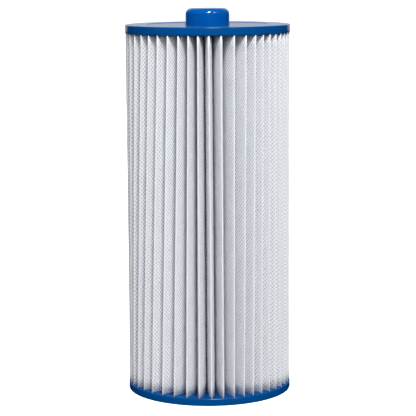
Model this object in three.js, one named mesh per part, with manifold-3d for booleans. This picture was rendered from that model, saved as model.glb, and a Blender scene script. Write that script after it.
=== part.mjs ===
// Pleated filter cartridge for a pool or spa. Millimetres, +Z up.
// The origin is the middle of the bottom end cap's underside, and the front of the cartridge faces -Y.
import * as THREE from 'three';
import { mergeVertices } from 'three/addons/utils/BufferGeometryUtils.js';
import Module from 'manifold-3d';

const wasm = await Module();
wasm.setup();

// End caps: cast discs that hold the ends of the pleats and of the core.
const capDiameter = 124;
const cartridgeLength = 278.6; // from the underside of the bottom cap to the rim face of the top cap
const topCapThickness = 6.35;
const bottomCapThickness = 5.7;
const capEdgeRound = 0.8;
const capFloor = 2.6; // cap material left beyond the ends of the pleats
const rimBand = 16.4; // width of the raised band round the top face
const recessDepth = 0.3; // how far the top face drops inside that band

// Handle knob: a hollow moulding whose flange is held under the top cap.
const knobDiameter = 33.2;
const knobHeight = 12.2; // above the rim face of the top cap
const knobEdgeRound = 4.5;
const knobWall = 3;
const knobFlangeThickness = 2.5;

// Core: a perforated tube of stacked sections, closed by a plug above and lined by a collar below.
const outletDiameter = 54;
const collarWall = 2;
const collarSleeve = 12; // how far the collar reaches into the core
const collarLip = 3.5; // how far its flange stands out under the bottom cap
const collarLipThickness = 1;
const coreWall = 3;
const coreSections = 3;
const jointLength = 4; // spigot between two core sections
const slotsAround = 12;
const slotRows = 2;
const slotWidth = 3.2;
const slotBridge = 7; // solid ring between two rows of slots
const plugThickness = 3;
const plugSkirt = 8;
const plugWall = 2;

// Pleated media: one sheet, folded and closed into a ring.
const pleatCount = 48;
const pleatLedge = 0.7; // the crests stop this far inside the edge of the caps
const mediaThickness = 0.6;
const crestWidth = 1.4; // across the outer fold
const bellyDepth = 15; // the legs spread over this depth and then run side by side
const valleyGap = 1.1; // between the facing legs of two pleats
const seamLength = 12; // radial width of the glue line that closes the ring

// How far the folds wander from an even spacing, in degrees, at the two ends of the cartridge.
// Each entry is [waves round the ring, size, where the wave peaks].
const wanderBottom = { shift: -1.7, waves: [[1, 5.2, 101], [2, 3.6, 30], [4, 1.2, -29]] };
const wanderTop = { shift: 1.3, waves: [[2, 1.9, 40], [5, 1.5, 174], [9, 0.6, -167]] };

const fitGap = 0.3; // between pieces that meet
const capSides = 48;
const coreSides = 36;
const roundSteps = 2;
const leanSteps = 4; // straight lengths that a leaning pleat is made of

// Sizes that follow from the ones above.
const capRadius = capDiameter / 2;
const topCapUnderside = cartridgeLength - topCapThickness;
const topFace = cartridgeLength - recessDepth;
const pleatBottom = capFloor + fitGap;
const pleatTop = topFace - capFloor - fitGap;
const knobRadius = knobDiameter / 2;
const outletRadius = outletDiameter / 2;
const collarRadius = outletRadius + collarWall;
const coreBore = collarRadius + fitGap;
const coreRadius = coreBore + coreWall;
const plugRadius = coreBore - fitGap;
const knobFlangeTop = topCapUnderside - fitGap;
const plugTop = knobFlangeTop - knobFlangeThickness - fitGap;
const plugUnderside = plugTop - plugThickness;
const foldRadius = coreRadius + fitGap + mediaThickness / 2;
const crestRadius = capRadius - pleatLedge - mediaThickness / 2;
const bellyRadius = crestRadius - bellyDepth;
const pleatPitch = 360 / pleatCount;

const { degToRad, lerp } = THREE.MathUtils;

// A quarter round from one direction to the next, in degrees, as points of a lathe profile.
function corner(radius, height, round, fromAngle, toAngle) {
  const points = [];
  for (let step = 0; step <= roundSteps; step += 1) {
    const angle = degToRad(lerp(fromAngle, toAngle, step / roundSteps));
    points.push([radius + round * Math.cos(angle), height + round * Math.sin(angle)]);
  }
  return points;
}

// A ring turned about +Z from a closed profile of [radius, height] points.
function turned(profile, sides) {
  const points = [...profile, profile[0]].map(([radius, height]) => new THREE.Vector2(radius, height));
  return new THREE.LatheGeometry(points, sides).rotateX(Math.PI / 2);
}

// A solid turned about +Z from a profile that starts and ends on the axis.
function turnedSolid(profile, sides) {
  const points = profile.map(([radius, height]) => new THREE.Vector2(radius, height));
  return new THREE.LatheGeometry(points, sides).rotateX(Math.PI / 2);
}

function toManifold(geometry) {
  const bare = geometry.clone();
  bare.deleteAttribute('normal');
  bare.deleteAttribute('uv');
  const merged = mergeVertices(bare);
  return new wasm.Manifold(new wasm.Mesh({
    numProp: 3,
    vertProperties: new Float32Array(merged.attributes.position.array),
    triVerts: new Uint32Array(merged.index.array),
  }));
}

function cut(geometry, cutters) {
  let solid = toManifold(geometry);
  for (const cutter of cutters) {
    solid = solid.subtract(toManifold(cutter));
  }
  const mesh = solid.getMesh();
  const result = new THREE.BufferGeometry();
  result.setAttribute('position', new THREE.BufferAttribute(new Float32Array(mesh.vertProperties), 3));
  result.setIndex(new THREE.BufferAttribute(new Uint32Array(mesh.triVerts), 1));
  return result;
}

// Angles are measured in degrees from the front, towards +X.
function polar(radius, angle, across = 0) {
  const turn = degToRad(angle);
  return new THREE.Vector2(
    radius * Math.sin(turn) + across * Math.cos(turn),
    -radius * Math.cos(turn) + across * Math.sin(turn),
  );
}

function wander(angle, { shift, waves }) {
  let total = shift;
  for (const [count, size, peak] of waves) {
    total += size * Math.cos(degToRad(count * angle - peak));
  }
  return total;
}

// Where a crest stands at a height; half numbers give the valleys between the crests.
function pleatAngle(number, height) {
  const even = 180 + number * pleatPitch;
  return even + lerp(wander(even, wanderBottom), wander(even, wanderTop), height / cartridgeLength);
}

// The middle line of the folded sheet at one height, from one side of the seam round to the other.
function foldLine(height) {
  const legOffset = (valleyGap + mediaThickness) / 2;
  const line = [];
  for (let number = 0; number < pleatCount; number += 1) {
    const crest = pleatAngle(number, height);
    const before = pleatAngle(number - 0.5, height);
    const after = pleatAngle(number + 0.5, height);
    line.push(polar(foldRadius, before, legOffset));
    line.push(polar(bellyRadius, before, legOffset));
    line.push(polar(crestRadius, crest, -crestWidth / 2));
    line.push(polar(crestRadius, crest, crestWidth / 2));
    line.push(polar(bellyRadius, after, -legOffset));
    line.push(polar(foldRadius, after, -legOffset));
  }
  return line;
}

// Moves a line sideways by a distance, with square mitres at its corners and its ends run on by the same amount.
function offsetLine(line, distance, runOn) {
  return line.map((point, index) => {
    const last = line.length - 1;
    const before = line[Math.max(index - 1, 0)];
    const after = line[Math.min(index + 1, last)];
    const into = index > 0 ? point.clone().sub(before).normalize() : after.clone().sub(point).normalize();
    const out = index < last ? after.clone().sub(point).normalize() : into.clone();
    const mean = into.clone().add(out).normalize();
    const side = new THREE.Vector2(-mean.y, mean.x);
    const reach = distance / mean.dot(into);
    const end = (index === last ? runOn : 0) - (index === 0 ? runOn : 0);
    return point.clone().addScaledVector(side, reach).addScaledVector(mean, end);
  });
}

// The outline of the folded sheet at one height, with an allowance all round it.
function mediaOutline(height, allowance) {
  const line = foldLine(height);
  const reach = mediaThickness / 2 + allowance;
  return [...offsetLine(line, -reach, allowance), ...offsetLine(line, reach, allowance).reverse()];
}

// The outline of the glue line in the valley at the seam, with an allowance all round it.
function seamOutline(height, allowance) {
  const middle = pleatAngle(-0.5, height);
  const half = valleyGap / 2 - fitGap + allowance;
  const inner = foldRadius - mediaThickness / 2 - allowance;
  const outer = foldRadius + seamLength + allowance;
  return [
    polar(inner, middle, -half),
    polar(outer, middle, -half),
    polar(outer, middle, half),
    polar(inner, middle, half),
  ];
}

// A closed solid through the same outline at several heights. Each panel is split from its inner corner
// below to its outer corner above, so that faces that run side by side keep their distance as they lean.
function loft(outlineAt, allowance, low, high, steps) {
  const positions = [];
  const rings = [];
  for (let step = 0; step <= steps; step += 1) {
    const height = lerp(low, high, step / steps);
    rings.push(outlineAt(height, allowance));
    rings[step].forEach((point) => positions.push(point.x, point.y, height));
  }
  const count = rings[0].length;
  const faces = [];
  for (let step = 0; step < steps; step += 1) {
    for (let index = 0; index < count; index += 1) {
      const after = (index + 1) % count;
      const here = step * count + index;
      const next = step * count + after;
      if (rings[0][after].length() > rings[0][index].length()) {
        faces.push(here, next, count + next, here, count + next, count + here);
      } else {
        faces.push(here, next, count + here, next, count + next, count + here);
      }
    }
  }
  for (const [a, b, c] of THREE.ShapeUtils.triangulateShape(rings[0], [])) {
    faces.push(a, c, b);
  }
  for (const [a, b, c] of THREE.ShapeUtils.triangulateShape(rings[steps], [])) {
    faces.push(steps * count + a, steps * count + b, steps * count + c);
  }
  const geometry = new THREE.BufferGeometry();
  geometry.setAttribute('position', new THREE.Float32BufferAttribute(positions, 3));
  geometry.setIndex(faces);
  return geometry;
}

// The slots in a cap that the pleat ends and the glue line are cast into.
function pleatSlots(low, high) {
  return [loft(mediaOutline, fitGap, low, high, 1), loft(seamOutline, fitGap, low, high, 1)];
}

function topEndCap() {
  const hole = knobRadius + fitGap;
  const recess = capRadius - rimBand;
  const seat = pleatTop + fitGap;
  const profile = [
    [hole, topCapUnderside],
    [coreBore - fitGap, topCapUnderside],
    [coreBore - fitGap, seat],
    [coreRadius + fitGap, seat],
    [coreRadius + fitGap, topCapUnderside],
    ...corner(capRadius - capEdgeRound, topCapUnderside + capEdgeRound, capEdgeRound, -90, 0),
    ...corner(capRadius - capEdgeRound, cartridgeLength - capEdgeRound, capEdgeRound, 0, 90),
    [recess, cartridgeLength],
    [recess, topFace],
    [hole, topFace],
  ];
  return cut(turned(profile, capSides), pleatSlots(topCapUnderside - 1, seat));
}

function bottomEndCap() {
  const hole = collarRadius + fitGap;
  const lip = collarRadius + collarLip + fitGap;
  const profile = [
    [lip, 0],
    ...corner(capRadius - capEdgeRound, capEdgeRound, capEdgeRound, -90, 0),
    ...corner(capRadius - capEdgeRound, bottomCapThickness - capEdgeRound, capEdgeRound, 0, 90),
    [coreRadius + fitGap, bottomCapThickness],
    [coreRadius + fitGap, capFloor],
    [hole, capFloor],
    [hole, collarLipThickness + fitGap],
    [lip, collarLipThickness + fitGap],
  ];
  return cut(turned(profile, capSides), pleatSlots(capFloor, bottomCapThickness + 1));
}

function handleKnob() {
  const top = cartridgeLength + knobHeight;
  const flange = coreBore - fitGap;
  const foot = knobFlangeTop - knobFlangeThickness;
  const bore = knobRadius - knobWall;
  return turnedSolid([
    [0, top - knobWall],
    [bore - knobWall, top - knobWall],
    [bore, top - 2 * knobWall],
    [bore, foot],
    [flange, foot],
    [flange, knobFlangeTop],
    [knobRadius, knobFlangeTop],
    ...corner(knobRadius - knobEdgeRound, top - knobEdgeRound, knobEdgeRound, 0, 90),
    [0, top],
  ], capSides);
}

function coreTopPlug() {
  const bore = plugRadius - plugWall;
  return turnedSolid([
    [0, plugUnderside],
    [bore, plugUnderside],
    [bore, plugUnderside - plugSkirt],
    [plugRadius, plugUnderside - plugSkirt],
    [plugRadius, plugTop],
    [0, plugTop],
  ], coreSides);
}

function outletCollar() {
  const flange = collarRadius + collarLip;
  return turned([
    [outletRadius, 0],
    [flange, 0],
    [flange, collarLipThickness],
    [collarRadius, collarLipThickness],
    [collarRadius, pleatBottom + collarSleeve],
    [outletRadius, pleatBottom + collarSleeve],
  ], coreSides);
}

// One length of the core: a spigot on top fits the socket in the foot of the next one.
function coreSection(number) {
  const length = (pleatTop - pleatBottom) / coreSections;
  const low = pleatBottom + number * length + (number > 0 ? fitGap : 0);
  const high = pleatBottom + (number + 1) * length;
  const split = coreBore + coreWall / 2;
  const profile = [];
  if (number > 0) {
    profile.push([coreBore, low + jointLength], [split + fitGap / 2, low + jointLength]);
    profile.push([split + fitGap / 2, low]);
  } else {
    profile.push([coreBore, low]);
  }
  profile.push([coreRadius, low], [coreRadius, high]);
  if (number < coreSections - 1) {
    profile.push([split - fitGap / 2, high], [split - fitGap / 2, high + jointLength - fitGap]);
    profile.push([coreBore, high + jointLength - fitGap]);
  } else {
    profile.push([coreBore, high]);
  }
  const slots = [];
  const slotHeight = (length - fitGap - 2 * jointLength - (slotRows + 1) * slotBridge) / slotRows;
  for (let row = 0; row < slotRows; row += 1) {
    const middle = low + jointLength + slotBridge + slotHeight / 2 + row * (slotHeight + slotBridge);
    for (let turn = 0; turn < slotsAround; turn += 1) {
      const slot = new THREE.BoxGeometry(2 * coreWall + 2 * fitGap, slotWidth, slotHeight);
      slot.translate(coreBore + coreWall / 2, 0, middle);
      slots.push(slot.rotateZ(degToRad((turn + 0.5) * (360 / slotsAround))));
    }
  }
  return cut(turned(profile, coreSides), slots);
}

function plastic(color, roughness) {
  return new THREE.MeshStandardMaterial({ color, roughness, metalness: 0 });
}

const capBlue = plastic('#0a5094', 0.25);
const knobBlue = plastic('#0456aa', 0.22);
const coreWhite = plastic('#e8e8e4', 0.5);
const polyester = plastic('#dcdce2', 0.9);
const hotMelt = plastic('#d8cfae', 0.45);

const cartridge = new THREE.Group();

function add(name, geometry, material) {
  const mesh = new THREE.Mesh(geometry, material.clone());
  mesh.name = name;
  cartridge.add(mesh);
}

add('top_end_cap', topEndCap(), capBlue);
add('bottom_end_cap', bottomEndCap(), capBlue);
add('handle_knob', handleKnob(), knobBlue);
add('core_top_plug', coreTopPlug(), coreWhite);
add('outlet_collar', outletCollar(), coreWhite);
for (let number = 0; number < coreSections; number += 1) {
  add(`core_section_${number + 1}`, coreSection(number), coreWhite);
}
add('pleated_media', loft(mediaOutline, 0, pleatBottom, pleatTop, leanSteps), polyester);
add('media_seam_bead', loft(seamOutline, 0, pleatBottom, pleatTop, leanSteps), hotMelt);

export default cartridge;
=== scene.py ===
"""Looks for a pleated pool and spa filter cartridge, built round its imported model.

Lengths are in metres once they leave the settings, which hold millimetres. The front faces -Y.
"""

import math

import bpy
import numpy as np
from mathutils import Matrix, Vector


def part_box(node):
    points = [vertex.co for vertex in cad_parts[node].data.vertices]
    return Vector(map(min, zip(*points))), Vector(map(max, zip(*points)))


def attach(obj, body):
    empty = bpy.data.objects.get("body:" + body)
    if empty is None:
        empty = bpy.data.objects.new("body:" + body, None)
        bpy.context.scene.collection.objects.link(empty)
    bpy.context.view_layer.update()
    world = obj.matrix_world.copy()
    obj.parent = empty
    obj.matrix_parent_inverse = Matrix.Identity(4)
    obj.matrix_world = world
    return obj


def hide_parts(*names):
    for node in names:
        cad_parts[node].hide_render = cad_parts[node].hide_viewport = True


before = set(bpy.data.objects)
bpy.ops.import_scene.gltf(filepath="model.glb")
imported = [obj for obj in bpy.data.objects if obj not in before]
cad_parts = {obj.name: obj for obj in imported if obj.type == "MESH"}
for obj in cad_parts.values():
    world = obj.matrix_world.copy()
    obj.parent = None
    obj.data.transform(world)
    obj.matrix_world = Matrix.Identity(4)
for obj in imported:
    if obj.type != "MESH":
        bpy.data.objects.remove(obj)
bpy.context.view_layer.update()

bl_info = {
    "name": "Pleated filter cartridge",
    "version": (1, 0, 0),
    "blender": (4, 5, 0),
    "location": "View3D > Sidebar > Cartridge",
    "description": "Builds the pieces of a pool and spa filter cartridge round its packed model",
    "category": "Object",
}

MM = 0.001
BODY = "root"

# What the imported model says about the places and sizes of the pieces.
TOP_LOW, TOP_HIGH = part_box("top_end_cap")
BOTTOM_LOW, BOTTOM_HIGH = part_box("bottom_end_cap")
KNOB_LOW, KNOB_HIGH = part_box("handle_knob")
MEDIA_LOW, MEDIA_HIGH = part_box("pleated_media")
PLUG_LOW, PLUG_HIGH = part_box("core_top_plug")
COLLAR_LOW, COLLAR_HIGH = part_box("outlet_collar")
CORE_NODES = sorted(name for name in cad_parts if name.startswith("core_section"))

CAP_RADIUS = TOP_HIGH[0]
CORE_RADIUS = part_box(CORE_NODES[0])[1][0]
LENGTH = TOP_HIGH[2]

FIT_GAP = 0.3 * MM  # clearance between neighbouring pieces
PLEAT_RADIUS = MEDIA_HIGH[0] + FIT_GAP  # the folds reach nearly to the caps' edge
SCORE_REACH = 0.6 * MM  # how far from a fold its score line fades out
SMALL_ROUND = 0.4 * MM  # edges of the caps' holes, the core sections and the collar
KNOB_CLEARANCE = 0.12 * MM  # between the knob and the hole it stands in
COLLAR_CLEARANCE = 0.2 * MM  # between the collar's lip and the bottom cap
SPIGOT_CLEARANCE = 0.15 * MM  # either side of the joint between two core sections
CREEP_REACH = 0.7 * MM  # how far from the sheet the climb of the casting fades out
GLUE_ROUND = 0.15 * MM  # edges of the glue bead

CRISP_ANGLE = 35  # degrees; edges that turn more than this are shaded crisp
SOFTEN_ANGLE = 40  # degrees; edges that turn more than this are rounded by soften()
SIDES_A_PLEAT = 16  # sides of the castings for each pleat, so that they can follow the sheet
KNOB_SIDES = 192
FITTING_SIDES = 144

# How far the folds wander from an even spacing, in degrees, at the foot and the head of the cartridge.
# Each wave is (waves round the ring, size, where it peaks).
WANDER_FOOT = (-1.7, ((1, 5.2, 101), (2, 3.6, 30), (4, 1.2, -29)))
WANDER_HEAD = (1.3, ((2, 1.9, 40), (5, 1.5, 174), (9, 0.6, -167)))


# ---------------------------------------------------------------- settings


class MediaSettings(bpy.types.PropertyGroup):
    pleats: bpy.props.IntProperty(
        name="Pleats", description="Folds round the cartridge", default=48, min=8)
    thickness: bpy.props.FloatProperty(
        name="Sheet thickness", description="Thickness of the polyester sheet, in mm", default=0.55)
    valley_gap: bpy.props.FloatProperty(
        name="Valley gap", description="Between the facing legs of two pleats, in mm", default=1.1)
    belly: bpy.props.FloatProperty(
        name="Belly depth", description="Depth over which a pleat widens, in mm", default=18.0)
    bow: bpy.props.FloatProperty(
        name="Bow", description="From 1, straight legs, to 2, legs that bow out", default=1.5)
    crest: bpy.props.FloatProperty(
        name="Crest radius", description="Radius of the outer fold at mid sheet, in mm", default=0.3)
    bond_pitch: bpy.props.FloatProperty(
        name="Bond pitch", description="Between the bond points of a row, in mm", default=2.7)
    bond_rows: bpy.props.FloatProperty(
        name="Bond rows", description="Between two rows of bond points, in mm", default=1.5)
    colour: bpy.props.StringProperty(
        name="Colour", description="Colour of the sheet, as sRGB hex", default="f3f5fa")


class CapSettings(bpy.types.PropertyGroup):
    edge: bpy.props.FloatProperty(
        name="Edge round", description="Radius of the caps' edges, in mm", default=0.9)
    band: bpy.props.FloatProperty(
        name="Rim band", description="Width of the raised band on the top cap, in mm", default=16.4)
    recess: bpy.props.FloatProperty(
        name="Recess", description="Depth of the top face inside the band, in mm", default=0.3)
    step_round: bpy.props.FloatProperty(
        name="Step round", description="Radius of the two edges of that step, in mm", default=0.15)
    underlap: bpy.props.FloatProperty(
        name="Underlap", description="Thickness of the casting under the core's foot, in mm", default=2.0)
    climb: bpy.props.FloatProperty(
        name="Climb", description="How far the casting creeps up the sheet, in mm", default=0.9)
    colour: bpy.props.StringProperty(
        name="Colour", description="Colour of the caps, as sRGB hex", default="004482")


class KnobSettings(bpy.types.PropertyGroup):
    diameter: bpy.props.FloatProperty(
        name="Diameter", description="Diameter of the knob, in mm", default=33.2)
    edge: bpy.props.FloatProperty(
        name="Edge round", description="Radius of the knob's top edge, in mm", default=4.5)
    wall: bpy.props.FloatProperty(
        name="Wall", description="Wall of the hollow knob, in mm", default=3.0)
    flange: bpy.props.FloatProperty(
        name="Flange", description="Thickness of the flange under the cap, in mm", default=2.5)
    crown: bpy.props.FloatProperty(
        name="Crown", description="Rise of the middle of the knob's top, in mm", default=0.25)
    colour: bpy.props.StringProperty(
        name="Colour", description="Colour of the knob, as sRGB hex", default="004b94")


class CoreSettings(bpy.types.PropertyGroup):
    wall: bpy.props.FloatProperty(
        name="Wall", description="Wall of the core, in mm", default=3.0)
    slots: bpy.props.IntProperty(
        name="Slots", description="Slots round the core", default=12, min=3)
    rows: bpy.props.IntProperty(
        name="Rows", description="Rows of slots in a section", default=2, min=1)
    slot_width: bpy.props.FloatProperty(
        name="Slot width", description="Width of a slot, in mm", default=3.2)
    bridge: bpy.props.FloatProperty(
        name="Bridge", description="Solid ring between two rows of slots, in mm", default=7.0)
    joint: bpy.props.FloatProperty(
        name="Joint", description="Length of the spigot between two sections, in mm", default=4.0)
    colour: bpy.props.StringProperty(
        name="Colour", description="Colour of the core, plug and collar, as sRGB hex", default="e9e8e2")


class FittingSettings(bpy.types.PropertyGroup):
    plug_disc: bpy.props.FloatProperty(
        name="Plug disc", description="Thickness of the plug's disc, in mm", default=3.0)
    plug_wall: bpy.props.FloatProperty(
        name="Plug wall", description="Wall of the plug's skirt, in mm", default=2.0)
    plug_edge: bpy.props.FloatProperty(
        name="Plug edge", description="Radius of the plug's edges, in mm", default=0.5)
    outlet: bpy.props.FloatProperty(
        name="Outlet", description="Diameter of the outlet, in mm", default=54.0)
    collar_wall: bpy.props.FloatProperty(
        name="Collar wall", description="Wall of the collar's sleeve, in mm", default=2.0)
    collar_lip: bpy.props.FloatProperty(
        name="Collar lip", description="Thickness of the collar's lip, in mm", default=1.0)


class StageSettings(bpy.types.PropertyGroup):
    distance: bpy.props.FloatProperty(
        name="Distance", description="From the camera to the axis", default=1.2587, unit="LENGTH")
    height: bpy.props.FloatProperty(
        name="Height", description="Of the camera over the floor", default=0.3273, unit="LENGTH")
    pitch: bpy.props.FloatProperty(
        name="Pitch", description="How far the camera looks down", default=math.radians(8.511),
        subtype="ANGLE")
    yaw: bpy.props.FloatProperty(
        name="Yaw", description="How far the camera turns to its left", default=math.radians(0.02),
        subtype="ANGLE")
    roll: bpy.props.FloatProperty(
        name="Roll", description="How far the camera leans to its left", default=math.radians(-0.348),
        subtype="ANGLE")
    lens: bpy.props.FloatProperty(
        name="Lens", description="Focal length on a 36 mm wide sensor, in mm", default=144.35)


SETTINGS = {
    "media": MediaSettings,
    "cap": CapSettings,
    "knob": KnobSettings,
    "core": CoreSettings,
    "fitting": FittingSettings,
    "stage": StageSettings,
}


def settings(name):
    """The scene's settings of that name."""
    return getattr(bpy.context.scene, f"cartridge_{name}")


# ---------------------------------------------------------------- materials


def linear(hex_colour):
    """An sRGB hex colour as linear red, green, blue and alpha."""
    channels = [int(hex_colour[at:at + 2], 16) / 255 for at in (0, 2, 4)]
    return [c / 12.92 if c <= 0.04045 else ((c + 0.055) / 1.055) ** 2.4 for c in channels] + [1.0]


def put(tree, kind, inputs=None, **fields):
    """Adds a node, sets its fields, and sets or links its inputs by name or number.

    Noise scales are written below as waves to the millimetre, over MM.
    """
    made = tree.nodes.new(kind)
    for name, value in fields.items():
        setattr(made, name, value)
    for key, value in (inputs or {}).items():
        if isinstance(value, bpy.types.NodeSocket):
            tree.links.new(value, made.inputs[key])
        else:
            made.inputs[key].default_value = value
    return made


def new_material(name):
    """An empty node material and its output node."""
    material = bpy.data.materials.new(name)
    material.use_nodes = True
    material.node_tree.nodes.clear()
    return material, put(material.node_tree, "ShaderNodeOutputMaterial")


def bond_points(tree, sheet, media):
    """How far each spot of the sheet is pressed in, from 0 to 1, by the lattice of bond points."""
    # The web stretches as it is wound, so the lattice wanders by a fraction of its pitch.
    drift = put(tree, "ShaderNodeTexNoise", {"Vector": sheet, "Scale": 0.22 / MM, "Detail": 2.0})
    offset = put(tree, "ShaderNodeVectorMath", {0: drift.outputs["Color"], 1: (0.5, 0.5, 0.5)},
                 operation="SUBTRACT").outputs[0]
    moved = put(tree, "ShaderNodeVectorMath", {0: offset, 1: (1.6 * MM,) * 3, 2: sheet},
                operation="MULTIPLY_ADD").outputs[0]
    # Real points are about a millimetre apart; they are drawn two to three times as coarse so that they show.
    turns = (2 * math.pi / (media.bond_pitch * MM), math.pi / (media.bond_rows * MM), 0)
    scaled = put(tree, "ShaderNodeVectorMath", {0: moved, 1: turns}, operation="MULTIPLY").outputs[0]
    along = put(tree, "ShaderNodeSeparateXYZ", {0: scaled}).outputs
    waves = [put(tree, "ShaderNodeMath", {0: along[axis]}, operation="COSINE").outputs[0] for axis in (0, 1)]
    lattice = put(tree, "ShaderNodeMath", {0: waves[0], 1: waves[1]}, operation="MULTIPLY").outputs[0]
    dots = put(tree, "ShaderNodeMapRange",
               {"Value": lattice, "From Min": 0.0, "From Max": 0.8}, interpolation_type="SMOOTHSTEP")
    # The outer folds are scored before folding, which irons the lattice out along them.
    scored = put(tree, "ShaderNodeSeparateXYZ", {0: sheet}).outputs["Z"]
    return put(tree, "ShaderNodeMix", {"Factor": scored, "A": dots.outputs[0], "B": 0.3}).outputs[0]


def spunbond_polyester(media):
    """White spunbond polyester, calendered with a lattice of bond points.

    The eye sees a matt sheet with rows of small pressed dimples, fine fibres and faint clouds.
    """
    material, output = new_material("spunbond_polyester")
    tree = material.node_tree
    sheet = put(tree, "ShaderNodeAttribute", attribute_name="sheet").outputs["Vector"]
    dimple = bond_points(tree, sheet, media)
    # Fibres are about 0.02 mm thick; they are drawn as bundles of about 0.7 mm so that they show.
    fibre = put(tree, "ShaderNodeTexNoise", {"Vector": sheet, "Scale": 1.5 / MM, "Detail": 3.0,
                                             "Roughness": 0.6}).outputs["Fac"]
    cloud = put(tree, "ShaderNodeTexNoise", {"Vector": sheet, "Scale": 0.12 / MM,
                                             "Detail": 2.0}).outputs["Fac"]
    white = linear(media.colour)
    pressed = [c * 0.55 for c in white[:3]] + [1.0]
    tone = put(tree, "ShaderNodeMix", {"Factor": dimple, "A": white, "B": pressed}, data_type="RGBA")
    shade = put(tree, "ShaderNodeMapRange", {"Value": cloud, "From Min": 0.3, "From Max": 0.7,
                                             "To Min": 0.95, "To Max": 1.03})
    speck = put(tree, "ShaderNodeMapRange", {"Value": fibre, "From Min": 0.3, "From Max": 0.7,
                                             "To Min": 0.95, "To Max": 1.04})
    both = put(tree, "ShaderNodeMath", {0: shade.outputs[0], 1: speck.outputs[0]}, operation="MULTIPLY")
    base = put(tree, "ShaderNodeVectorMath", {0: tone.outputs["Result"], 1: both.outputs[0]},
               operation="MULTIPLY")
    height = put(tree, "ShaderNodeMath", {0: dimple, 1: -1.0, 2: fibre}, operation="MULTIPLY_ADD")
    bump = put(tree, "ShaderNodeBump", {"Height": height.outputs[0], "Strength": 0.8,
                                        "Distance": 0.22 * MM})
    surface = put(tree, "ShaderNodeBsdfPrincipled", {
        "Base Color": base.outputs[0], "Roughness": 0.92, "IOR": 1.45, "Specular IOR Level": 0.2,
        "Sheen Weight": 0.12, "Sheen Roughness": 0.5, "Normal": bump.outputs[0]})
    tree.links.new(surface.outputs[0], output.inputs["Surface"])
    return material


def glossy_plastic(name, colour, roughness, ripple, specular):
    """A glossy blue casting or moulding.

    The eye sees a deep blue, barely clouded, a soft long ripple from the mould and a finely uneven gloss.
    """
    material, output = new_material(name)
    tree = material.node_tree
    place = put(tree, "ShaderNodeTexCoord").outputs["Object"]
    wave = put(tree, "ShaderNodeTexNoise", {"Vector": place, "Scale": 0.055 / MM, "Detail": 2.0})
    grain = put(tree, "ShaderNodeTexNoise", {"Vector": place, "Scale": 0.9 / MM, "Detail": 3.0})
    cloud = put(tree, "ShaderNodeTexNoise", {"Vector": place, "Scale": 0.022 / MM, "Detail": 3.0})
    deep = linear(colour)
    pale = [min(1.0, c * 1.15) for c in deep[:3]] + [1.0]
    tone = put(tree, "ShaderNodeMix", {"Factor": cloud.outputs["Fac"], "A": deep, "B": pale},
               data_type="RGBA")
    rough = put(tree, "ShaderNodeMapRange", {"Value": grain.outputs["Fac"], "From Min": 0.3,
                                             "From Max": 0.7, "To Min": roughness * 0.8,
                                             "To Max": roughness * 1.25})
    height = put(tree, "ShaderNodeMath", {0: wave.outputs["Fac"], 1: ripple, 2: grain.outputs["Fac"]},
                 operation="MULTIPLY_ADD")
    bump = put(tree, "ShaderNodeBump", {"Height": height.outputs[0], "Strength": 0.15,
                                        "Distance": 0.01 * MM})
    surface = put(tree, "ShaderNodeBsdfPrincipled", {
        "Base Color": tone.outputs["Result"], "Roughness": rough.outputs[0], "IOR": 1.45,
        "Specular IOR Level": specular, "Normal": bump.outputs[0]})
    tree.links.new(surface.outputs[0], output.inputs["Surface"])
    return material


def cast_urethane():
    """The caps' urethane, made once and shared by both: poured, cured and trimmed, with a deep gloss."""
    made = bpy.data.materials.get("cast_urethane")
    return made or glossy_plastic("cast_urethane", settings("cap").colour, 0.16, 6.0, 0.3)


def white_moulding():
    """The white polypropylene, made once and shared by the core, its plug and the collar."""
    made = bpy.data.materials.get("moulded_polypropylene")
    return made or moulded_polypropylene(settings("core").colour)


def moulded_polypropylene(colour):
    """White polypropylene from a sparked mould.

    The eye sees a waxy, slightly cloudy white with a fine even grain and a soft sheen.
    """
    material, output = new_material("moulded_polypropylene")
    tree = material.node_tree
    place = put(tree, "ShaderNodeTexCoord").outputs["Object"]
    grain = put(tree, "ShaderNodeTexNoise", {"Vector": place, "Scale": 1.8 / MM, "Detail": 2.0})
    cloud = put(tree, "ShaderNodeTexNoise", {"Vector": place, "Scale": 0.06 / MM, "Detail": 3.0})
    white = linear(colour)
    milky = [c * 0.9 for c in white[:3]] + [1.0]
    tone = put(tree, "ShaderNodeMix", {"Factor": cloud.outputs["Fac"], "A": white, "B": milky},
               data_type="RGBA")
    bump = put(tree, "ShaderNodeBump", {"Height": grain.outputs["Fac"], "Strength": 0.4,
                                        "Distance": 0.05 * MM})
    surface = put(tree, "ShaderNodeBsdfPrincipled", {
        "Base Color": tone.outputs["Result"], "Roughness": 0.42, "IOR": 1.49,
        "Normal": bump.outputs[0]})
    tree.links.new(surface.outputs[0], output.inputs["Surface"])
    return material


def hot_melt_glue():
    """Amber hot-melt glue, laid as a bead and pressed flat.

    The eye sees a honey tint with a smooth, slightly wavy gloss.
    """
    material, output = new_material("hot_melt_glue")
    tree = material.node_tree
    place = put(tree, "ShaderNodeTexCoord").outputs["Object"]
    wave = put(tree, "ShaderNodeTexNoise", {"Vector": place, "Scale": 0.3 / MM, "Detail": 2.0})
    tone = put(tree, "ShaderNodeMix", {"Factor": wave.outputs["Fac"], "A": linear("d9cba0"),
                                       "B": linear("c7b27c")}, data_type="RGBA")
    bump = put(tree, "ShaderNodeBump", {"Height": wave.outputs["Fac"], "Strength": 0.6,
                                        "Distance": 0.3 * MM})
    surface = put(tree, "ShaderNodeBsdfPrincipled", {
        "Base Color": tone.outputs["Result"], "Roughness": 0.3, "IOR": 1.5, "Normal": bump.outputs[0]})
    tree.links.new(surface.outputs[0], output.inputs["Surface"])
    return material


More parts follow.
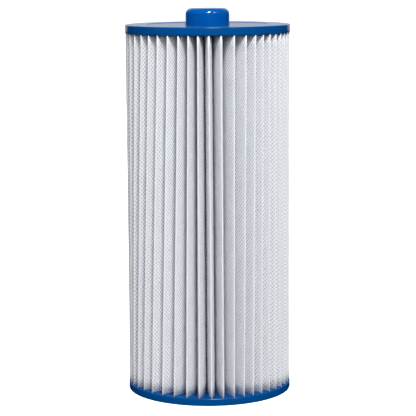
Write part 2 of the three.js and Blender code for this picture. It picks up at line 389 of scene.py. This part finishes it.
def plain_paper():
    """Seamless white studio paper: matt, and lit evenly enough to stay plain white."""
    material, output = new_material("studio_paper")
    tree = material.node_tree
    surface = put(tree, "ShaderNodeBsdfPrincipled", {
        "Base Color": (0.95, 0.95, 0.95, 1.0), "Roughness": 1.0, "Specular IOR Level": 0.0,
        "Emission Color": (1.0, 1.0, 1.0, 1.0), "Emission Strength": 0.8})
    tree.links.new(surface.outputs[0], output.inputs["Surface"])
    return material


# ---------------------------------------------------------------- meshes


def new_piece(name, points, faces, material, crisp=True):
    """A mesh object that rides on the cartridge, smooth but for its crisp edges."""
    mesh = bpy.data.meshes.new(name)
    mesh.from_pydata(np.asarray(points).tolist(), [], [list(face) for face in faces])
    mesh.validate()
    mesh.shade_smooth()
    if crisp:
        mesh.set_sharp_from_angle(angle=math.radians(CRISP_ANGLE))
    mesh.materials.append(material)
    piece = bpy.data.objects.new(name, mesh)
    bpy.context.scene.collection.objects.link(piece)
    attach(piece, BODY)
    return piece


def arc(radius, height, size, start, end, steps=8):
    """Points of a profile on a quarter round, from one angle to another in degrees."""
    angles = np.radians(np.linspace(start, end, steps + 1))
    return [(radius + size * math.cos(a), height + size * math.sin(a)) for a in angles]


def turn_profile(profile, sides, on_axis=False, lift=None):
    """Points and faces of a profile of (radius, height) turned about the axis.

    The profile runs counter-clockwise, with the material on its left. One that is on the axis starts and
    ends there. lift(radii, heights, angles) may move the heights.
    """
    rows = np.array(profile)
    angles = np.linspace(0, 2 * math.pi, sides, endpoint=False)
    radii = np.repeat(rows[:, :1], sides, axis=1)
    heights = np.repeat(rows[:, 1:], sides, axis=1)
    if lift is not None:
        heights = lift(radii, heights, np.broadcast_to(angles, radii.shape))
    points = np.stack([radii * np.sin(angles), -radii * np.cos(angles), heights], axis=2)
    count = len(rows)
    index = np.arange(count * sides).reshape(count, sides)
    here, there = (index[:-1], index[1:]) if on_axis else (index, np.roll(index, -1, axis=0))
    cells = np.stack([here, np.roll(here, -1, axis=1), np.roll(there, -1, axis=1), there], axis=2)
    faces = cells.reshape(-1, 4).tolist()
    points = points.reshape(-1, 3)
    if on_axis:
        points, faces = close_on_axis(points, faces, index)
    return points, faces


def quads(index):
    """The faces between the points of a grid, given the grid of their numbers."""
    corners = [index[:-1, :-1], index[:-1, 1:], index[1:, 1:], index[1:, :-1]]
    return np.stack(corners, axis=2).reshape(-1, 4)


def close_on_axis(points, faces, index):
    """Replaces the first and the last ring, which lie on the axis, with one point each."""
    sides = index.shape[1]
    last = len(points) - 1
    remap = np.arange(len(points)) - sides + 1
    remap[:sides] = 0
    remap[-sides:] = last - 2 * sides + 2
    kept = np.vstack([points[:1], points[sides:-sides], points[-1:]])
    joined = [list(dict.fromkeys(int(remap[corner]) for corner in face)) for face in faces]
    return kept, joined


# ---------------------------------------------------------------- pleats


def wander(angles, rule):
    """Degrees that the folds stray from an even spacing, at one end of the cartridge."""
    shift, waves = rule
    return shift + sum(size * np.cos(np.radians(count * angles - peak)) for count, size, peak in waves)


def fold_angle(number, height, count):
    """Radians from the front to fold number, at a height; half numbers are the valleys."""
    even = 180 + np.asarray(number) * 360 / count
    share = height / LENGTH
    foot, head = wander(even, WANDER_FOOT), wander(even, WANDER_HEAD)
    return np.radians(even + foot + (head - foot) * share)


def leg_offset(depth, spread, media):
    """How far a leg stands to the side of its crest at a depth, when it ends at the given spread."""
    nose = media.crest * MM
    inside = np.clip(depth / (media.belly * MM), 0, 1)
    tip = nose * np.sqrt(1 - (1 - np.clip(depth / nose, 0, 1)) ** 2)
    return tip + (spread - nose) * (1 - (1 - inside) ** media.bow)


def fold_depths(media, full):
    """Depths below the crest at which a leg has points: close on the nose, and wider further down."""
    nose, belly = media.crest * MM, media.belly * MM
    round_nose = nose * (1 - np.cos(np.linspace(0, math.pi / 2, 5)))
    return np.concatenate([round_nose, np.linspace(nose, belly, 13)[1:], np.linspace(belly, full, 4)[1:]])


def on_ring(radii, angles):
    """Level points at the given radii and angles from the front."""
    return np.stack([radii * np.sin(angles), -radii * np.cos(angles)], axis=2)


def valley_bends(angles, fold_radius, wall):
    """Points round the inner folds, each a half circle that bulges towards the core."""
    bend = np.radians(np.linspace(0, 180, 7))[1:-1]
    out = np.stack([np.sin(angles), -np.cos(angles)], axis=2)
    across = np.stack([np.cos(angles), np.sin(angles)], axis=2)
    inward = (fold_radius - wall * np.sin(bend))[None, :, None]
    sideways = (-wall * np.cos(bend))[None, :, None]
    return out * inward + across * sideways


def fold_line(height, media):
    """The middle line of the folded sheet at a height, from one side of the seam to the other.

    Also gives how strongly each of its points is scored, from 1 on a crest down to 0.
    """
    count = media.pleats
    half_sheet = media.thickness * MM / 2
    wall = (media.valley_gap + media.thickness) * MM / 2
    crest_radius = PLEAT_RADIUS - half_sheet
    fold_radius = CORE_RADIUS + half_sheet + wall + FIT_GAP
    depths = fold_depths(media, crest_radius - fold_radius)
    radii = crest_radius - depths
    number = np.arange(count)
    crest = fold_angle(number, height, count)[:, None]
    legs = {}
    for side in (-1, 1):
        valley = fold_angle(number + side / 2, height, count)[:, None]
        spread = np.abs(valley - crest) * radii - wall
        legs[side] = on_ring(radii, crest + side * leg_offset(depths, spread, media) / radii)
    bends = valley_bends(fold_angle(number + 0.5, height, count)[:, None], fold_radius, wall)
    score = np.exp(-depths / SCORE_REACH)
    line, scored = [], []
    for pleat in range(count):
        line += [legs[-1][pleat][::-1], legs[1][pleat][1:]]
        scored += [score[::-1], score[1:]]
        if pleat < count - 1:
            line.append(bends[pleat])
            scored.append(np.zeros(len(bends[pleat])))
    return np.concatenate(line), np.concatenate(scored)


def folded_sheet(media):
    """Points, faces and sheet coordinates of the whole folded sheet, with both of its sides."""
    low, high = MEDIA_LOW[2], MEDIA_HIGH[2]
    heights = np.linspace(low, high, 25)
    lines = np.stack([fold_line(height, media)[0] for height in heights])
    scored = fold_line(low, media)[1]
    ahead = np.gradient(lines, axis=1)
    ahead /= np.linalg.norm(ahead, axis=2, keepdims=True)
    normal = np.stack([ahead[..., 1], -ahead[..., 0]], axis=2)
    half = media.thickness * MM / 2
    middle = lines[len(heights) // 2]
    steps = np.linalg.norm(np.diff(middle, axis=0), axis=1)
    along = np.concatenate([[0], np.cumsum(steps)])
    rows, columns = lines.shape[:2]
    tall = np.broadcast_to(heights[:, None], (rows, columns))
    sides = [np.dstack([lines + sign * half * normal, tall]) for sign in (1, -1)]
    points = np.concatenate([side.reshape(-1, 3) for side in sides])
    sheet = np.stack(np.broadcast_arrays(along, tall, scored), axis=2)
    sheet = np.concatenate([sheet.reshape(-1, 3)] * 2)
    index = np.arange(rows * columns).reshape(rows, columns)
    front = quads(index)
    back = quads(index)[:, ::-1] + rows * columns
    rim = np.concatenate([index[0, :-1], index[:-1, -1], index[-1, :0:-1], index[:0:-1, 0]])
    after = np.roll(rim, -1)
    edge = np.stack([rim, rim + rows * columns, after + rows * columns, after], axis=1)
    return points, np.concatenate([front, back, edge]), sheet, float(along[-1])


def sheet_distance(radii, angles, height, media):
    """How far points on a level face are from the outside of the folded sheet, in metres."""
    count = media.pleats
    number = np.arange(-1, count + 1)
    crests = fold_angle(number, height, count)
    valleys = fold_angle(number[:-1] + 0.5, height, count)
    turned = np.mod(angles - valleys[0], 2 * math.pi) + valleys[0]
    nearest = np.clip(np.searchsorted(valleys, turned), 1, count)
    away = turned - crests[nearest]
    edge = np.where(away > 0, valleys[nearest], valleys[nearest - 1])
    crest_radius = PLEAT_RADIUS - media.thickness * MM / 2
    wall = (media.valley_gap + media.thickness) * MM / 2
    depth = np.clip(crest_radius - radii, 0, None)
    spread = np.abs(edge - crests[nearest]) * radii - wall
    beside = np.abs(away) * radii - leg_offset(depth, spread, media)
    beyond = np.clip(radii - crest_radius, 0, None)
    return np.clip(np.hypot(np.clip(beside, 0, None), beyond) - media.thickness * MM / 2, 0, None)


def casting_climb(radii, angles, height):
    """How far the casting creeps along the sheet where it stands in the pour, in metres."""
    near = sheet_distance(radii, angles, height, settings("media"))
    return settings("cap").climb * MM * np.exp(-near / CREEP_REACH)


# ---------------------------------------------------------------- operators


class CARTRIDGE_OT_media(bpy.types.Operator):
    """Fold the polyester sheet into its pleats"""

    bl_idname = "cartridge.media"
    bl_label = "Pleated media"

    def execute(self, context):
        media = settings("media")
        points, faces, sheet, width = folded_sheet(media)
        piece = new_piece("media_sheet", points, faces, spunbond_polyester(media), crisp=False)
        place = piece.data.attributes.new("sheet", "FLOAT_VECTOR", "POINT")
        place.data.foreach_set("vector", sheet.astype(np.float32).ravel())
        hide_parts("pleated_media")
        return {"FINISHED"}


class CARTRIDGE_OT_top_cap(bpy.types.Operator):
    """Cast the closed end cap"""

    bl_idname = "cartridge.top_cap"
    bl_label = "Top end cap"

    def execute(self, context):
        cap, media, knob = settings("cap"), settings("media"), settings("knob")
        edge = cap.edge * MM
        low, high = TOP_LOW[2], TOP_HIGH[2]
        hole = knob.diameter * MM / 2 + KNOB_CLEARANCE
        step, turn = CAP_RADIUS - cap.band * MM, cap.step_round * MM
        floor = high - cap.recess * MM
        potted = [(radius, low) for radius in np.linspace(CORE_RADIUS, PLEAT_RADIUS - edge, 30)]
        profile = [
            (hole, low),
            *potted,
            *arc(CAP_RADIUS - edge, low + edge, edge, -90, 0),
            *arc(CAP_RADIUS - edge, high - edge, edge, 0, 90),
            *arc(step + turn, high - turn, turn, 90, 180, 5),
            *arc(step - turn, floor + turn, turn, 0, -90, 5)[1:],
            *arc(hole + SMALL_ROUND, floor - SMALL_ROUND, SMALL_ROUND, 90, 180, 5),
        ]

        def creep(radii, heights, angles):
            potting = np.isclose(heights, low) & (radii > CORE_RADIUS) & (radii < PLEAT_RADIUS - edge / 2)
            return heights - potting * casting_climb(radii, angles, low)

        points, faces = turn_profile(profile, media.pleats * SIDES_A_PLEAT, lift=creep)
        piece = new_piece("top_cap_casting", points, faces, cast_urethane())
        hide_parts("top_end_cap")
        return {"FINISHED"}


class CARTRIDGE_OT_bottom_cap(bpy.types.Operator):
    """Cast the open end cap"""

    bl_idname = "cartridge.bottom_cap"
    bl_label = "Bottom end cap"

    def execute(self, context):
        cap, media = settings("cap"), settings("media")
        edge = cap.edge * MM
        low, high = BOTTOM_LOW[2], BOTTOM_HIGH[2]
        lip = COLLAR_HIGH[0] + COLLAR_CLEARANCE
        seat = low + cap.underlap * MM
        potted = [(radius, high) for radius in np.linspace(PLEAT_RADIUS, CORE_RADIUS, 34)]
        profile = [
            *arc(lip + SMALL_ROUND, low + SMALL_ROUND, SMALL_ROUND, 180, 270, 5),
            *arc(CAP_RADIUS - edge, low + edge, edge, -90, 0),
            *arc(CAP_RADIUS - edge, high - edge, edge, 0, 90)[:-1],
            *potted,
            (CORE_RADIUS, seat),
            (lip, seat),
        ]

        def creep(radii, heights, angles):
            potting = np.isclose(heights, high) & (radii > CORE_RADIUS * 1.001)
            return heights + potting * casting_climb(radii, angles, high)

        points, faces = turn_profile(profile, media.pleats * SIDES_A_PLEAT, lift=creep)
        piece = new_piece("bottom_cap_casting", points, faces, cast_urethane())
        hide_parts("bottom_end_cap")
        return {"FINISHED"}


class CARTRIDGE_OT_knob(bpy.types.Operator):
    """Mould the handle knob and its hidden flange"""

    bl_idname = "cartridge.knob"
    bl_label = "Handle knob"

    def execute(self, context):
        knob = settings("knob")
        radius, edge, wall = knob.diameter * MM / 2, knob.edge * MM, knob.wall * MM
        low, high = KNOB_LOW[2], KNOB_HIGH[2]
        flange, flange_top = KNOB_HIGH[0], low + knob.flange * MM
        bore, crown = radius - wall, knob.crown * MM
        # The round stops short of level, where the slight crown of the top takes over.
        profile = [
            (0, high - wall),
            *arc(bore - wall, high - 2 * wall, wall, 90, 0),
            (bore, low),
            (flange, low),
            (flange, flange_top),
            (radius, flange_top),
            *arc(radius - edge, high - crown - edge, edge, 0, 86, 20),
            (radius * 0.35, high - crown * 0.2),
            (0, high),
        ]
        points, faces = turn_profile(profile, KNOB_SIDES, on_axis=True)
        blue = glossy_plastic("moulded_abs", knob.colour, 0.1, 4.0, 0.5)
        piece = new_piece("knob_moulding", points, faces, blue)
        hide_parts("handle_knob")
        return {"FINISHED"}


class CARTRIDGE_OT_core(bpy.types.Operator):
    """Mould the three perforated core sections"""

    bl_idname = "cartridge.core"
    bl_label = "Core sections"

    def execute(self, context):
        core = settings("core")
        for number, name in enumerate(CORE_NODES):
            points, faces = pierced_section(name, number, core)
            piece = new_piece(f"{name}_moulding", points, faces, white_moulding())
            soften(piece, SMALL_ROUND)
            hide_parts(name)
        return {"FINISHED"}


class CARTRIDGE_OT_fittings(bpy.types.Operator):
    """Mould the core's top plug and the outlet collar"""

    bl_idname = "cartridge.fittings"
    bl_label = "Plug and collar"

    def execute(self, context):
        make_plug(settings("fitting"))
        make_collar(settings("fitting"))
        return {"FINISHED"}


class CARTRIDGE_OT_seam(bpy.types.Operator):
    """Give the glue line at the seam its finish"""

    bl_idname = "cartridge.seam"
    bl_label = "Seam glue"

    def execute(self, context):
        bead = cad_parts["media_seam_bead"]
        bead.data.materials.clear()
        bead.data.materials.append(hot_melt_glue())
        soften(bead, GLUE_ROUND)
        return {"FINISHED"}


def make_plug(fitting):
    """The cup that closes the head of the core: a disc with a skirt."""
    low, high, radius = PLUG_LOW[2], PLUG_HIGH[2], PLUG_HIGH[0]
    wall, edge = fitting.plug_wall * MM, fitting.plug_edge * MM
    disc = high - fitting.plug_disc * MM
    profile = [
        (0, disc),
        *arc(radius - wall - edge, disc - edge, edge, 90, 0, 5),
        *arc(radius - wall + edge, low + edge, edge, 180, 270, 5),
        *arc(radius - edge, low + edge, edge, -90, 0, 5),
        *arc(radius - edge, high - edge, edge, 0, 90, 5),
        (0, high),
    ]
    points, faces = turn_profile(profile, FITTING_SIDES, on_axis=True)
    piece = new_piece("core_plug_moulding", points, faces, white_moulding())
    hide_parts("core_top_plug")


def make_collar(fitting):
    """The sleeve that lines the outlet, with a lip at its foot."""
    low, high, flange = COLLAR_LOW[2], COLLAR_HIGH[2], COLLAR_HIGH[0]
    bore, lip, edge = fitting.outlet * MM / 2, fitting.collar_lip * MM, SMALL_ROUND
    outside = bore + fitting.collar_wall * MM
    profile = [
        *arc(bore + edge, low + edge, edge, 180, 270, 5),
        *arc(flange - edge, low + edge, edge, -90, 0, 5),
        (flange, low + lip),
        (outside, low + lip),
        *arc(outside - edge, high - edge, edge, 0, 90, 5),
        *arc(bore + edge, high - edge, edge, 90, 180, 5),
    ]
    points, faces = turn_profile(profile, FITTING_SIDES)
    piece = new_piece("outlet_collar_moulding", points, faces, white_moulding())
    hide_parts("outlet_collar")


def soften(piece, width):
    """Rounds the crisp edges of a moulding."""
    bevel = piece.modifiers.new("rounded_edges", "BEVEL")
    bevel.width = width
    bevel.segments = 3
    bevel.limit_method = "ANGLE"
    bevel.angle_limit = math.radians(SOFTEN_ANGLE)


def pierced_section(name, number, core):
    """Points and faces of one core section, with its rows of slots, spigot and socket."""
    low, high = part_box(name)
    wall, joint, bridge = core.wall * MM, core.joint * MM, core.bridge * MM
    outer, inner = CORE_RADIUS, CORE_RADIUS - wall
    split = (outer + inner) / 2
    last = number == len(CORE_NODES) - 1
    foot = low[2]
    head = high[2] if last else high[2] - joint + FIT_GAP
    if number > 0:
        socket = split + SPIGOT_CLEARANCE
        levels = [(foot, socket, outer, True), (foot + joint, socket, outer, True)]
    else:
        levels = [(foot, inner, outer, True)]
    first = foot + joint
    height = (head - foot - 2 * joint - (core.rows + 1) * bridge) / core.rows
    levels.append((first, inner, outer, True))
    for row in range(core.rows):
        bottom = first + bridge + row * (height + bridge)
        levels += [(bottom, inner, outer, False), (bottom + height, inner, outer, True)]
    levels.append((head, inner, outer, True))
    if not last:
        spigot = split - SPIGOT_CLEARANCE
        levels += [(head, inner, spigot, True), (high[2], inner, spigot, True)]
    return pierced_tube(levels, core)


def slot_columns(core):
    """Angles of the columns of a pierced tube, and whether the stretch after each is between slots."""
    half = core.slot_width * MM / (CORE_RADIUS - core.wall * MM / 2) / 2
    pitch = 2 * math.pi / core.slots
    angles, solid = [], []
    for slot in range(core.slots):
        middle = (slot + 0.5) * pitch
        angles += list(np.linspace(middle - half, middle + half, 5)[:-1])
        solid += [False] * 4
        angles += list(np.linspace(middle + half, middle + pitch - half, 6)[:-1])
        solid += [True] * 5
    return np.array(angles), solid


def pierced_tube(levels, core):
    """A tube from levels of (height, inner radius, outer radius, solid above), with slots in the others."""
    angles, solid = slot_columns(core)
    columns, rows = len(angles), len(levels)
    way = np.stack([np.sin(angles), -np.cos(angles)], axis=1)
    points = []
    for height, inner, outer, _ in levels:
        for radius in (inner, outer):
            points += [(x * radius, y * radius, height) for x, y in way]

    def edge(row, column):
        """The numbers of the inner and the outer point of a level at a column."""
        start = 2 * row * columns + column % columns
        return start, start + columns

    def is_solid(row, column):
        return 0 <= row < rows - 1 and (levels[row][3] or solid[column % columns])

    faces = []
    for column in range(columns):
        for row in range(rows - 1):
            if not is_solid(row, column):
                continue
            low_in, low_out = edge(row, column)
            high_in, high_out = edge(row + 1, column)
            next_low_in, next_low_out = edge(row, column + 1)
            next_high_in, next_high_out = edge(row + 1, column + 1)
            faces.append((low_out, next_low_out, next_high_out, high_out))
            faces.append((next_low_in, low_in, high_in, next_high_in))
            if not is_solid(row, column - 1):
                faces.append((low_in, low_out, high_out, high_in))
            if not is_solid(row, column + 1):
                faces.append((next_low_out, next_low_in, next_high_in, next_high_out))
            if not is_solid(row - 1, column):
                faces.append((low_out, low_in, next_low_in, next_low_out))
            if not is_solid(row + 1, column):
                faces.append((high_in, high_out, next_high_out, next_high_in))
    return points, faces


FLOOR_REACH = 40.0  # metres from the middle of the floor to its sides

# Softboxes: name, place, width and height in metres, watts, and whether glossy surfaces show them.
SOFTBOXES = (
    ("key_light", (0.3, -1.55, 2.0), 0.5, 0.5, 50.0, True),
    ("right_light", (1.3, -1.3, 1.8), 0.4, 0.4, 8.0, True),
    ("back_panel", (0.0, 2.2, 1.0), 3.2, 1.9, 13.0, True),
    ("front_fill", (0.3, -2.4, 0.5), 1.5, 1.2, 6.0, False),
    ("left_fill", (-1.9, -0.9, 0.9), 1.6, 1.6, 8.0, False),
    ("rear_fill", (0.0, 2.3, 0.5), 1.6, 1.2, 24.0, False),
    ("top_fill", (0.0, -1.3, 2.2), 2.6, 1.4, 14.0, False),
)


class CARTRIDGE_OT_stage(bpy.types.Operator):
    """Set the floor, the lights and the camera"""

    bl_idname = "cartridge.stage"
    bl_label = "Stage"

    def execute(self, context):
        scene = context.scene
        scene.view_settings.view_transform = "Standard"
        add_floor(FLOOR_REACH)
        scene.world = studio_fill(low=0.14, high=0.58)
        for name, place, width, height, power, glossy in SOFTBOXES:
            lamp = softbox(name, place, width, height, power)
            lamp.visible_glossy = glossy
        # The panel that the caps mirror stands in view, so the camera is kept from seeing it.
        bpy.data.objects["back_panel"].visible_camera = False
        add_camera(scene, settings("stage"))
        return {"FINISHED"}


def add_floor(reach):
    """A plain pale floor that lights nothing and that glossy surfaces don't mirror."""
    mesh = bpy.data.meshes.new("studio_floor")
    corners = [(-reach, -reach, 0), (reach, -reach, 0), (reach, reach, 0), (-reach, reach, 0)]
    mesh.from_pydata(corners, [], [(0, 1, 2, 3)])
    mesh.materials.append(plain_paper())
    floor = bpy.data.objects.new("studio_floor", mesh)
    bpy.context.scene.collection.objects.link(floor)
    floor.visible_glossy = False
    floor.visible_diffuse = False


def studio_fill(low, high):
    """A white surround: full white behind the object, and a dim fill that grows from the floor up."""
    world = bpy.data.worlds.new("studio_fill")
    world.use_nodes = True
    tree = world.node_tree
    seen = put(tree, "ShaderNodeLightPath").outputs["Is Camera Ray"]
    way = put(tree, "ShaderNodeTexCoord").outputs["Generated"]
    upward = put(tree, "ShaderNodeSeparateXYZ", {0: way}).outputs["Z"]
    fill = put(tree, "ShaderNodeMapRange", {"Value": upward, "From Min": -0.3, "From Max": 0.6,
                                            "To Min": low, "To Max": high})
    level = put(tree, "ShaderNodeMix", {"Factor": seen, "A": fill.outputs[0], "B": 1.0})
    background = tree.nodes["Background"]
    background.inputs["Color"].default_value = (1.0, 1.0, 1.0, 1.0)
    tree.links.new(level.outputs[0], background.inputs["Strength"])
    world.cycles_visibility.glossy = False
    return world


def softbox(name, place, width, height, power):
    """A rectangular light that faces the middle of the cartridge."""
    light = bpy.data.lights.new(name, "AREA")
    light.shape = "RECTANGLE"
    light.size, light.size_y, light.energy = width, height, power
    lamp = bpy.data.objects.new(name, light)
    bpy.context.scene.collection.objects.link(lamp)
    lamp.location = place
    aim = Vector((0, 0, LENGTH / 2)) - Vector(place)
    lamp.rotation_euler = aim.to_track_quat("-Z", "Y").to_euler()
    return lamp


def add_camera(scene, stage):
    """A long lens in front of the cartridge, a little over its top and looking slightly down."""
    data = bpy.data.cameras.new("camera")
    data.lens, data.sensor_width = stage.lens, 36.0
    camera = bpy.data.objects.new("camera", data)
    scene.collection.objects.link(camera)
    turn = Matrix.Rotation(stage.yaw, 4, "Z") @ Matrix.Rotation(math.pi / 2 - stage.pitch, 4, "X")
    turn = turn @ Matrix.Rotation(stage.roll, 4, "Z")
    camera.matrix_world = Matrix.Translation((0, -stage.distance, stage.height)) @ turn
    scene.camera = camera


class CARTRIDGE_PT_panel(bpy.types.Panel):
    """The cartridge's pieces and settings"""

    bl_idname = "CARTRIDGE_PT_panel"
    bl_label = "Filter cartridge"
    bl_space_type = "VIEW_3D"
    bl_region_type = "UI"
    bl_category = "Cartridge"

    def draw(self, context):
        for name, group in SETTINGS.items():
            box = self.layout.box()
            box.label(text=name.capitalize())
            for field in group.__annotations__:
                box.prop(settings(name), field)
        for operator in OPERATORS:
            self.layout.operator(operator.bl_idname)


OPERATORS = (
    CARTRIDGE_OT_media,
    CARTRIDGE_OT_top_cap,
    CARTRIDGE_OT_bottom_cap,
    CARTRIDGE_OT_knob,
    CARTRIDGE_OT_core,
    CARTRIDGE_OT_fittings,
    CARTRIDGE_OT_seam,
    CARTRIDGE_OT_stage,
)


def register():
    for name, group in SETTINGS.items():
        bpy.utils.register_class(group)
        setattr(bpy.types.Scene, f"cartridge_{name}", bpy.props.PointerProperty(type=group))
    for operator in OPERATORS:
        bpy.utils.register_class(operator)
    bpy.utils.register_class(CARTRIDGE_PT_panel)


def unregister():
    bpy.utils.unregister_class(CARTRIDGE_PT_panel)
    for operator in reversed(OPERATORS):
        bpy.utils.unregister_class(operator)
    for name, group in SETTINGS.items():
        delattr(bpy.types.Scene, f"cartridge_{name}")
        bpy.utils.unregister_class(group)


def main():
    register()
    for operator in OPERATORS:
        group, action = operator.bl_idname.split(".")
        getattr(getattr(bpy.ops, group), action)()


if __name__ == "__main__":
    main()
